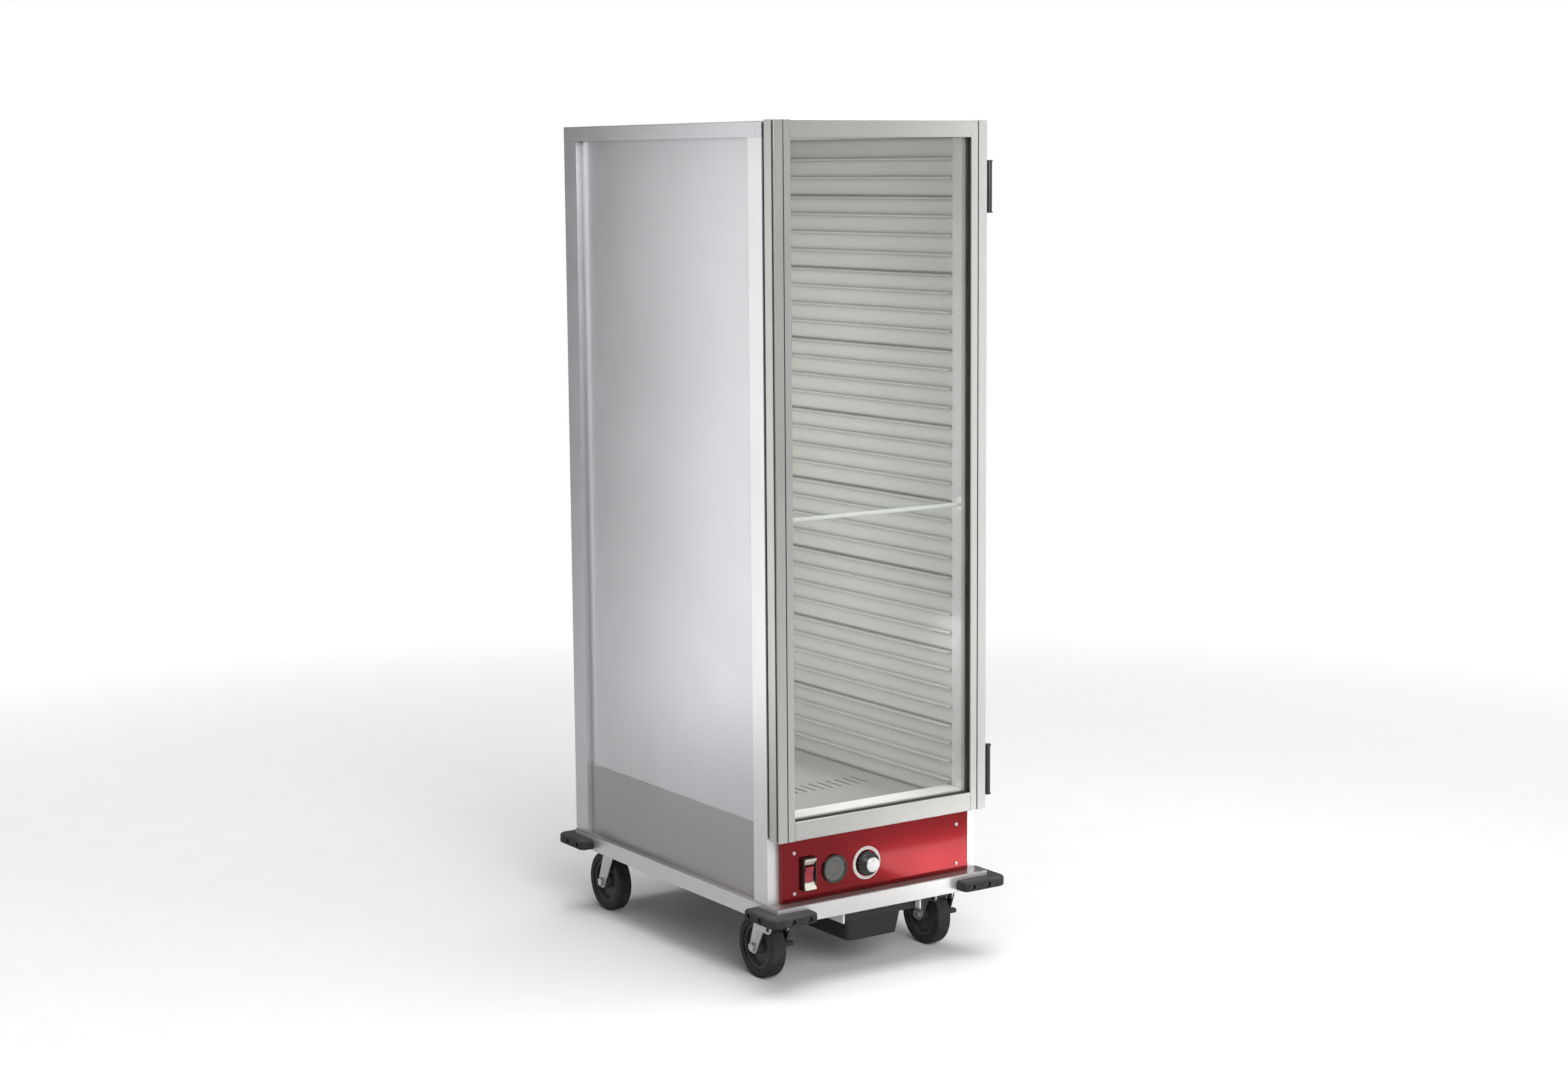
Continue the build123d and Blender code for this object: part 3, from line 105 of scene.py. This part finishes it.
class NodeTree:
    """A node tree and short calls that add nodes to it."""

    def __init__(self, tree):
        self.tree = tree

    def add(self, kind, **settings):
        made = self.tree.nodes.new(kind)
        for key, value in settings.items():
            setattr(made, key, value)
        return made

    def feed(self, socket, value):
        """Links a socket, or sets a plain value."""
        if isinstance(value, bpy.types.NodeSocket):
            self.tree.links.new(value, socket)
        else:
            socket.default_value = value

    def remap(self, value, low, high, to_low, to_high):
        ranged = self.add("ShaderNodeMapRange")
        self.feed(ranged.inputs["Value"], value)
        ranged.inputs["From Min"].default_value = low
        ranged.inputs["From Max"].default_value = high
        ranged.inputs["To Min"].default_value = to_low
        ranged.inputs["To Max"].default_value = to_high
        return ranged.outputs["Result"]

    def spread(self, noise, to_low, to_high):
        """Noise spread over a range of values."""
        return self.remap(noise, NOISE_LOW, NOISE_HIGH, to_low, to_high)

    def math(self, operation, first, second=0.0):
        made = self.add("ShaderNodeMath", operation=operation)
        self.feed(made.inputs[0], first)
        self.feed(made.inputs[1], second)
        return made.outputs[0]

    def vector_math(self, operation, first, second, result):
        made = self.add("ShaderNodeVectorMath", operation=operation)
        self.feed(made.inputs[0], first)
        self.feed(made.inputs[1], second)
        return made.outputs[result]

    def split(self, vector):
        """The three parts of a vector."""
        parts = self.add("ShaderNodeSeparateXYZ")
        self.feed(parts.inputs["Vector"], vector)
        return parts.outputs

    def mix(self, factor, first, second, blend="MIX"):
        made = self.add("ShaderNodeMix", data_type="RGBA", blend_type=blend)
        self.feed(made.inputs["Factor"], factor)
        self.feed(made.inputs["A"], first)
        self.feed(made.inputs["B"], second)
        return made.outputs["Result"]

    def multiply(self, colour, factor):
        return self.mix(1.0, colour, factor, "MULTIPLY")

    def mix_shaders(self, factor, first, second):
        made = self.add("ShaderNodeMixShader")
        self.feed(made.inputs[0], factor)
        self.feed(made.inputs[1], first)
        self.feed(made.inputs[2], second)
        return made.outputs["Shader"]

    def ramp(self, value, steps):
        """A colour read from steps, each a position and its colour."""
        made = self.add("ShaderNodeValToRGB")
        elements = made.color_ramp.elements
        elements.remove(elements[1])
        elements[0].position, elements[0].color = steps[0]
        for position, colour in steps[1:]:
            elements.new(position).color = colour
        self.feed(made.inputs["Fac"], value)
        return made.outputs["Color"]

    def camera_sees(self):
        """1 for what the camera looks at directly, 0 for reflections and bounced light."""
        return self.add("ShaderNodeLightPath").outputs["Is Camera Ray"]


class Shader(NodeTree):
    """A material's nodes, with calls for textures, edges and creases."""

    def __init__(self, name):
        self.material = bpy.data.materials.new(name)
        self.material.use_nodes = True
        super().__init__(self.material.node_tree)
        self.surface = self.tree.nodes["Principled BSDF"]
        self.output = self.tree.nodes["Material Output"]
        self.place = self.add("ShaderNodeTexCoord").outputs["Object"]

    def stretch(self, scale):
        """Object coordinates stretched by a scale for each axis."""
        mapping = self.add("ShaderNodeMapping")
        self.feed(mapping.inputs["Vector"], self.place)
        mapping.inputs["Scale"].default_value = scale
        return mapping.outputs["Vector"]

    def noise(self, scale, detail, vector=None, roughness=0.55):
        texture = self.add("ShaderNodeTexNoise")
        self.feed(texture.inputs["Vector"], vector if vector is not None else self.place)
        texture.inputs["Scale"].default_value = scale
        texture.inputs["Detail"].default_value = detail
        texture.inputs["Roughness"].default_value = roughness
        return texture.outputs["Fac"]

    def cells(self, scale):
        """Distance from the middle of the nearest cell."""
        texture = self.add("ShaderNodeTexVoronoi")
        self.feed(texture.inputs["Vector"], self.place)
        texture.inputs["Scale"].default_value = scale
        return texture.outputs["Distance"]

    def true_normal(self):
        return self.add("ShaderNodeNewGeometry").outputs["Normal"]

    def soft_edge(self, radius):
        """Normals rounded over the sharp edges."""
        bevel = self.add("ShaderNodeBevel", samples=4)
        bevel.inputs["Radius"].default_value = radius
        return bevel.outputs["Normal"]

    def edge_mask(self, rounded):
        """White on sharp edges, black on flats."""
        match = self.vector_math("DOT_PRODUCT", rounded, self.true_normal(), "Value")
        return self.remap(match, 0.995, 0.80, 0.0, 1.0)

    def rub_edges(self, colour, worn, amount, bare):
        """A colour worn through to another one where the mask of edges is white."""
        return self.mix(self.math("MULTIPLY", worn, amount), colour, bare)

    def shade_creases(self, colour, reach, darkest, shut=0.2, clear=0.9):
        """Painted shade: a colour darkened by ambient occlusion where surfaces meet within a reach."""
        occlusion = self.add("ShaderNodeAmbientOcclusion", samples=6)
        occlusion.inputs["Distance"].default_value = reach
        return self.multiply(colour, self.remap(occlusion.outputs["AO"], shut, clear, darkest, 1.0))

    def bump(self, height, strength, distance, normal=None):
        made = self.add("ShaderNodeBump")
        made.inputs["Strength"].default_value = strength
        made.inputs["Distance"].default_value = distance
        self.feed(made.inputs["Height"], height)
        if normal is not None:
            self.feed(made.inputs["Normal"], normal)
        return made.outputs["Normal"]

    def finish(self, colour, roughness, normal, **values):
        """Feeds the surface and gives back the material. Values go to sockets by name."""
        self.feed(self.surface.inputs["Base Color"], colour)
        self.feed(self.surface.inputs["Roughness"], roughness)
        self.feed(self.surface.inputs["Normal"], normal)
        for name, value in values.items():
            self.surface.inputs[name.replace("_", " ")].default_value = value
        return self.material


# Materials ------------------------------------------------------------------


def brushed_metal(name, colour, roughness, grain, depth, crease_shade, metallic):
    """Metal with grain along one axis, a faint cloudy polish, worn edges and painted shade in the creases."""
    shader = Shader(name)
    rounded = shader.soft_edge(0.9 * MM)
    worn = shader.edge_mask(rounded)
    strokes = shader.noise(1.0, 5.0, shader.stretch(grain), 0.65)
    cloud = shader.noise(3.2, 3.0)
    smudge = shader.noise(11.0, 4.0)
    shade = shader.math("MULTIPLY", shader.spread(strokes, 0.96, 1.03), shader.spread(cloud, 0.97, 1.03))
    base = shader.multiply(rgb(*colour), shade)
    base = shader.rub_edges(base, worn, 0.55, lighter(colour, 1.18, 0.04))
    # Painted shade: darkens the colour by ambient occlusion in the creases and corners.
    base = shader.shade_creases(base, 14 * MM, 1.0 - crease_shade, 0.25, 0.85)
    rough = shader.remap(strokes, 0.25, 0.75, roughness - 0.02, roughness + 0.03)
    rough = shader.math("ADD", rough, shader.remap(smudge, 0.35, 0.7, -0.01, 0.015))
    rough = shader.math("SUBTRACT", rough, shader.math("MULTIPLY", worn, 0.08))
    normal = shader.bump(strokes, depth, 0.4 * MM, rounded)
    return shader.finish(base, rough, normal, Metallic=metallic)


def plated_metal(name, colour, roughness):
    """Plated steel: fine mottled spangle, edges brighter, painted shade in the corners."""
    shader = Shader(name)
    rounded = shader.soft_edge(0.7 * MM)
    spangle = shader.remap(shader.cells(260.0), 0.0, 0.8, 0.9, 1.06)
    mottled = shader.spread(shader.noise(45.0, 5.0), 0.82, 1.08)
    base = shader.multiply(rgb(*colour), shader.math("MULTIPLY", spangle, mottled))
    base = shader.rub_edges(base, shader.edge_mask(rounded), 0.5, grey(0.9))
    # Painted shade: darkens the colour by ambient occlusion in the corners.
    base = shader.shade_creases(base, 9 * MM, 0.45)
    rough = shader.spread(shader.noise(80.0, 4.0), roughness - 0.08, roughness + 0.1)
    normal = shader.bump(mottled, 0.05, 0.3 * MM, rounded)
    return shader.finish(base, rough, normal, Metallic=0.95)


def enamel(name, colour, dark, roughness, coat, metallic=0.0):
    """Gloss paint: orange peel under a clear coat, cloudy colour and worn edges."""
    shader = Shader(name)
    rounded = shader.soft_edge(1.0 * MM)
    cloud = shader.spread(shader.noise(6.0, 3.0), 0.0, 0.35)
    base = shader.mix(cloud, rgb(*colour), rgb(*dark))
    base = shader.rub_edges(base, shader.edge_mask(rounded), 0.35, lighter(colour, 1.3, 0.06))
    # Painted shade: darkens the colour by ambient occlusion where surfaces meet.
    base = shader.shade_creases(base, 8 * MM, 0.5)
    streak = shader.noise(1.0, 4.0, shader.stretch((40.0, 40.0, 7.0)))
    rough = shader.spread(streak, roughness - 0.01, roughness + 0.02)
    peel = shader.noise(420.0, 2.0)
    normal = shader.bump(peel, 0.05, 0.15 * MM, rounded)
    return shader.finish(base, rough, normal, Metallic=metallic, Coat_Weight=coat, Coat_Roughness=0.06)


def rubber(name, colour, scuff, grain_scale, roughness, dust=0.10):
    """Matte rubber: pebbled, paler where it is scuffed, dusty on top."""
    shader = Shader(name)
    rounded = shader.soft_edge(1.6 * MM)
    patch = shader.noise(28.0, 5.0)
    scuffed = shader.remap(patch, 0.5, 0.75, 0.0, 0.6)
    worn = shader.math("MULTIPLY", shader.edge_mask(rounded), 0.6)
    base = shader.mix(shader.math("MAXIMUM", scuffed, worn), rgb(*colour), rgb(*scuff))
    upward = shader.remap(shader.split(shader.true_normal())["Z"], 0.4, 1.0, 0.0, dust)
    base = shader.mix(upward, base, rgb(0.30, 0.29, 0.27))
    # Painted shade: darkens the colour by ambient occlusion where surfaces meet.
    base = shader.shade_creases(base, 10 * MM, 0.45)
    rough = shader.spread(patch, roughness - 0.08, roughness + 0.1)
    pebble = shader.noise(grain_scale, 3.0, roughness=0.7)
    normal = shader.bump(pebble, 0.25, 0.25 * MM, rounded)
    return shader.finish(base, rough, normal, Specular_IOR_Level=0.35)


def moulded(name, colour, roughness, scale=300.0, coat=0.0):
    """Moulded plastic with a fine skin and slightly bright edges."""
    shader = Shader(name)
    rounded = shader.soft_edge(0.8 * MM)
    skin = shader.noise(scale, 3.0)
    cloud = shader.spread(shader.noise(30.0, 3.0), 0.88, 1.06)
    base = shader.multiply(rgb(*colour), cloud)
    base = shader.rub_edges(base, shader.edge_mask(rounded), 0.5, lighter(colour, 1.2, 0.03))
    # Painted shade: darkens the colour by ambient occlusion where surfaces meet.
    base = shader.shade_creases(base, 6 * MM, 0.5)
    rough = shader.spread(skin, roughness - 0.05, roughness + 0.05)
    normal = shader.bump(skin, 0.08, 0.1 * MM, rounded)
    return shader.finish(base, rough, normal, Coat_Weight=coat)


def clear_pane(name, tint, haze):
    """Glass: clear, mirrored more at a slant, with a faint haze and wiping marks."""
    shader = Shader(name)
    shader.tree.nodes.remove(shader.surface)
    wipe = shader.noise(1.0, 4.0, shader.stretch((3.0, 3.0, 14.0)))
    clear = shader.add("ShaderNodeBsdfTransparent")
    clear.inputs["Color"].default_value = rgb(*tint)
    film = shader.add("ShaderNodeBsdfDiffuse")
    film.inputs["Color"].default_value = rgb(0.75, 0.78, 0.76)
    mirror = shader.add("ShaderNodeBsdfGlossy")
    shader.feed(mirror.inputs["Roughness"], shader.remap(wipe, 0.35, 0.75, 0.08, 0.11))
    slant = shader.add("ShaderNodeLayerWeight")
    slant.inputs["Blend"].default_value = 0.5
    grazing = shader.math("POWER", slant.outputs["Facing"], GLASS_RISE)
    mirrored = shader.remap(grazing, 0.0, 1.0, GLASS_HEAD_ON, GLASS_GRAZING)
    hazed = shader.spread(wipe, haze * 0.6, haze * 1.4)
    hazy = shader.mix_shaders(hazed, clear.outputs["BSDF"], film.outputs["BSDF"])
    both = shader.mix_shaders(mirrored, hazy, mirror.outputs["BSDF"])
    shader.feed(shader.output.inputs["Surface"], both)
    return shader.material


def box_centre(node):
    low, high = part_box(node)
    return (Vector(low) + Vector(high)) / 2


def dial_marks(name, node, paper, ink, count, inner, outer, width):
    """A printed face, with radial ticks between two radii about the middle of a node."""
    shader = Shader(name)
    offset = shader.split(shader.vector_math("SUBTRACT", shader.place, box_centre(node), "Vector"))
    across, up = offset["X"], offset["Z"]
    turns = shader.math("MULTIPLY", shader.math("ARCTAN2", up, across), count / (2 * math.pi))
    phase = shader.math("FRACT", shader.math("ADD", turns, count + 0.5))
    near = shader.math("ABSOLUTE", shader.math("SUBTRACT", phase, 0.5))
    tick = shader.math("LESS_THAN", near, width)
    square = shader.math("ADD", shader.math("MULTIPLY", across, across), shader.math("MULTIPLY", up, up))
    radius = shader.math("SQRT", square)
    past_inner = shader.math("GREATER_THAN", radius, inner)
    within_outer = shader.math("LESS_THAN", radius, outer)
    mask = shader.math("MULTIPLY", tick, shader.math("MULTIPLY", past_inner, within_outer))
    grime = shader.spread(shader.noise(60.0, 4.0), 0.9, 1.04)
    base = shader.multiply(shader.mix(mask, rgb(*paper), rgb(*ink)), grime)
    rough = shader.spread(shader.noise(120.0, 3.0), 0.35, 0.5)
    normal = shader.bump(shader.noise(500.0, 2.0), 0.05, 0.1 * MM)
    return shader.finish(base, rough, normal)


# Finishes -------------------------------------------------------------------


def metal(colour, roughness, grain, depth, crease_shade, metallic):
    """The settings of one brushed metal."""
    return dict(colour=colour, roughness=roughness, grain=grain, depth=depth, crease_shade=crease_shade, metallic=metallic)


# Colour, roughness, grain, its depth, painted shade in the creases, and how far it is bare metal
BRUSHED = {
    "satin_aluminium": metal((0.70, 0.71, 0.73), 0.30, UPRIGHT_GRAIN, 0.04, 0.35, 0.85),
    "post_aluminium": metal((0.86, 0.86, 0.87), 0.30, UPRIGHT_GRAIN, 0.04, 0.3, 0.7),
    "wall_aluminium": metal((0.68, 0.68, 0.665), 0.42, LENGTH_GRAIN, 0.03, 0.75, 0.6),
    "floor_steel": metal((0.42, 0.42, 0.405), 0.40, FLAT_GRAIN, 0.04, 0.5, 0.5),
    "bright_aluminium": metal((0.96, 0.96, 0.95), 0.34, LENGTH_GRAIN, 0.04, 0.1, 0.2),
    "door_aluminium": metal((0.59, 0.585, 0.56), 0.33, UPRIGHT_GRAIN, 0.06, 0.6, 0.85),
    "stainless": metal((0.47, 0.455, 0.445), 0.30, LENGTH_GRAIN, 0.06, 0.35, 0.85),
    # Painted reflection: a paler steel for the base rails, lightened to stand in for the bright floor
    # mirrored in them.
    "base_steel": metal((0.82, 0.805, 0.795), 0.34, LENGTH_GRAIN, 0.05, 0.35, 0.75),
    "bright_cap": metal((0.80, 0.79, 0.79), 0.22, CAP_GRAIN, 0.03, 0.1, 1.0),
}

PLATED = {
    "zinc": dict(colour=(0.72, 0.73, 0.74), roughness=0.34),
    "dark_steel": dict(colour=(0.22, 0.21, 0.20), roughness=0.45),
}

ENAMELS = {
    "red_enamel": dict(
        colour=(0.25, 0.008, 0.012), dark=(0.21, 0.006, 0.010), roughness=0.17, coat=0.35, metallic=0.9
    ),
    "black_enamel": dict(
        colour=(0.025, 0.025, 0.025), dark=(0.012, 0.012, 0.012), roughness=0.35, coat=0.3
    ),
}

RUBBERS = {
    "bumper_rubber": dict(
        colour=(0.022, 0.022, 0.023), scuff=(0.075, 0.073, 0.07), grain_scale=380.0, roughness=0.55
    ),
    "seal_rubber": dict(
        colour=(0.018, 0.018, 0.018), scuff=(0.04, 0.04, 0.04), grain_scale=300.0, roughness=0.6, dust=0.05
    ),
    "tread_rubber": dict(
        colour=(0.026, 0.026, 0.027), scuff=(0.085, 0.082, 0.078), grain_scale=240.0, roughness=0.6, dust=0.15
    ),
    "cord_rubber": dict(
        colour=(0.03, 0.03, 0.03), scuff=(0.07, 0.07, 0.07), grain_scale=300.0, roughness=0.5
    ),
}

PLASTICS = {
    "hub_plastic": dict(colour=(0.075, 0.075, 0.075), roughness=0.5, scale=200.0),
    "black_plastic": dict(colour=(0.022, 0.022, 0.022), roughness=0.38, scale=320.0),
    "pan_plastic": dict(colour=(0.018, 0.018, 0.020), roughness=0.42, scale=260.0),
    "cream_plastic": dict(colour=(0.82, 0.78, 0.66), roughness=0.22, scale=200.0, coat=0.4),
    "red_plastic": dict(colour=(0.36, 0.015, 0.03), roughness=0.2, scale=200.0, coat=0.5),
    "needle_paint": dict(colour=(0.75, 0.22, 0.12), roughness=0.4),
}

PANES = {"pane": dict(tint=(0.935, 0.945, 0.93), haze=0.05)}

# Ticks: how many, the two radii they lie between, and half a tick as a share of their spacing
DIAL_FACES = {
    "white_print": dict(
        node="dial_plate",
        paper=(0.86, 0.85, 0.83),
        ink=(0.10, 0.02, 0.03),
        count=40,
        inner=28.5 * MM,
        outer=31.5 * MM,
        width=0.14,
    ),
    "dial_grey": dict(
        node="thermometer_dial",
        paper=(0.035, 0.043, 0.040),
        ink=(0.50, 0.53, 0.50),
        count=36,
        inner=19.0 * MM,
        outer=22.5 * MM,
        width=0.10,
    ),
}

FINISHES = (
    (brushed_metal, BRUSHED),
    (plated_metal, PLATED),
    (enamel, ENAMELS),
    (rubber, RUBBERS),
    (moulded, PLASTICS),
    (clear_pane, PANES),
    (dial_marks, DIAL_FACES),
)

# Nodes whose own finish differs a little from the rest of their slot
OWN_FINISH = {
    # Painted reflection: the base rails get a paler steel that stands in for the bright floor mirrored in
    # them.
    "base_rails": "base_steel",
    "front_posts": "post_aluminium",
    "slide_planks_left": "wall_aluminium",
    "slide_planks_right": "wall_aluminium",
    "back_liner": "wall_aluminium",
    "ceiling_panel": "wall_aluminium",
    "floor_pan": "floor_steel",
}


def make_materials():
    """A material for each finish slot of the record, and for each finish of a single node."""
    made = {}
    for maker, settings_by_name in FINISHES:
        for name, settings in settings_by_name.items():
            made[name] = maker(name, **settings)
    return made


def smooth_by_angle(obj):
    """Smooth shading that keeps the sharp edges sharp."""
    for face in obj.data.polygons:
        face.use_smooth = True
    obj.data.set_sharp_from_angle(angle=SMOOTH_LIMIT)


def dress_nodes(materials):
    """Every CAD node gets the material of its slot and smooth curved surfaces."""
    for entry in frame["record"]["subparts"]:
        node = NODES[entry["node"]]
        finish = OWN_FINISH.get(entry["node"], entry["material_slot"])
        node.data.materials.clear()
        node.data.materials.append(materials[finish])
        smooth_by_angle(node)


# Studio ---------------------------------------------------------------------


def sky_tone(nodes, direction):
    """Grey that is pale below, darkest just over the horizon and pale again overhead."""
    upward = nodes.remap(nodes.split(direction)["Z"], -1.0, 1.0, 0.0, 1.0)
    steps = ((0.44, grey(0.85)), (0.54, rgb(0.33, 0.33, 0.335)), (0.80, rgb(0.92, 0.93, 0.95)))
    return nodes.ramp(upward, steps)


def sky_level(nodes, direction):
    """Brightness of the surroundings, which falls off away from their strong side."""
    towards = nodes.vector_math("DOT_PRODUCT", direction, STRONG_SIDE, "Value")
    weakest = SURROUND_WEAKEST * SURROUND_STRENGTH
    return nodes.remap(towards, -1.0, 1.0, weakest, SURROUND_STRENGTH)


def make_world():
    """White backdrop for the camera, graded grey surroundings for reflections."""
    world = bpy.data.worlds.new("studio")
    bpy.context.scene.world = world
    world.use_nodes = True
    world.node_tree.nodes.clear()
    nodes = NodeTree(world.node_tree)
    direction = nodes.add("ShaderNodeTexCoord").outputs["Generated"]
    around = nodes.add("ShaderNodeBackground")
    nodes.feed(around.inputs["Color"], sky_tone(nodes, direction))
    nodes.feed(around.inputs["Strength"], sky_level(nodes, direction))
    backdrop = nodes.add("ShaderNodeBackground")
    backdrop.inputs["Color"].default_value = grey(1.0)
    seen = nodes.camera_sees()
    shown = nodes.mix_shaders(seen, around.outputs["Background"], backdrop.outputs["Background"])
    output = nodes.add("ShaderNodeOutputWorld")
    nodes.feed(output.inputs["Surface"], shown)


def make_floor():
    """Pale floor that melts into the backdrop away from the cabinet."""
    bpy.ops.mesh.primitive_circle_add(vertices=FLOOR_SIDES, radius=FLOOR_RADIUS, fill_type="NGON")
    floor = bpy.context.object
    floor.name = "studio_floor"
    shader = Shader("studio_floor")
    seen = shader.camera_sees()
    grain = shader.spread(shader.noise(9.0, 5.0), 0.985, 1.01)
    tone = shader.mix(seen, grey(FLOOR_REFLECTED), grey(FLOOR_SEEN))
    rough = shader.spread(shader.noise(20.0, 4.0), 0.55, 0.7)
    shader.feed(shader.surface.inputs["Base Color"], shader.multiply(tone, grain))
    shader.feed(shader.surface.inputs["Roughness"], rough)
    shader.surface.inputs["Specular IOR Level"].default_value = 0.2
    distance = shader.add("ShaderNodeVectorMath", operation="LENGTH")
    shader.feed(distance.inputs[0], shader.place)
    fade = shader.remap(distance.outputs["Value"], FADE_START, FADE_END, 0.0, 1.0)
    clear = shader.add("ShaderNodeBsdfTransparent").outputs["BSDF"]
    both = shader.mix_shaders(shader.math("MULTIPLY", fade, seen), shader.surface.outputs["BSDF"], clear)
    shader.feed(shader.output.inputs["Surface"], both)
    floor.data.materials.append(shader.material)


def soft_box(name, place, aim, width, height, power):
    """A rectangular studio light turned to face a point, itself out of sight."""
    light = bpy.data.lights.new(name, "AREA")
    light.shape = "RECTANGLE"
    light.size = width
    light.size_y = height
    light.energy = power
    holder = bpy.data.objects.new(name, light)
    holder.location = place
    holder.visible_camera = False
    direction = Vector(aim) - Vector(place)
    holder.rotation_mode = "QUATERNION"
    holder.rotation_quaternion = direction.to_track_quat("-Z", "Y")
    bpy.context.scene.collection.objects.link(holder)
    return holder


def white_card(name, **settings):
    """A bright card that only shows as a reflection in the metal."""
    card = soft_box(name, **settings)
    card.visible_diffuse = False


def unmirrored_fill(name, **settings):
    """Soft light inside the cabinet that isn't mirrored, as there is no lamp there."""
    fill = soft_box(name, **settings)
    fill.visible_glossy = False


def cavity_fill(side):
    """The fill that stands on one side and lights the slide wall across from it."""
    place = (FILL_OFFSET * side, 0.0, FILL_HEIGHT)
    aim = (-FILL_AIM * side, 0.0, FILL_HEIGHT)
    width, height = FILL_SIZE
    unmirrored_fill("cavity_fill", place=place, aim=aim, width=width, height=height, power=FILL_POWER)


def make_lights():
    """Overhead box, key light, cards mirrored in the metal, and soft light in the cavity."""
    soft_box("overhead", **OVERHEAD)
    soft_box("key", **KEY)
    white_card("side_card", **SIDE_CARD)
    white_card("front_card", **FRONT_CARD)
    white_card("floor_card", **FLOOR_CARD)
    unmirrored_fill("sill_strip", **SILL_STRIP)
    for side in (-1, 1):
        cavity_fill(side)


def make_camera():
    """Camera off the front left corner, nearly as high as the cabinet."""
    data = bpy.data.cameras.new("camera")
    data.sensor_width = SENSOR_WIDTH
    data.lens = CAMERA_LENS
    camera = bpy.data.objects.new("camera", data)
    camera.location = CAMERA_PLACE
    facing = (CAMERA_AIM - CAMERA_PLACE).to_track_quat("-Z", "Y")
    camera.rotation_mode = "QUATERNION"
    camera.rotation_quaternion = facing @ Quaternion((0, 0, 1), CAMERA_ROLL)
    bpy.context.scene.collection.objects.link(camera)
    bpy.context.scene.camera = camera


bpy.context.scene.view_settings.view_transform = "Standard"
dress_nodes(make_materials())
make_world()
make_lights()
make_floor()
make_camera()
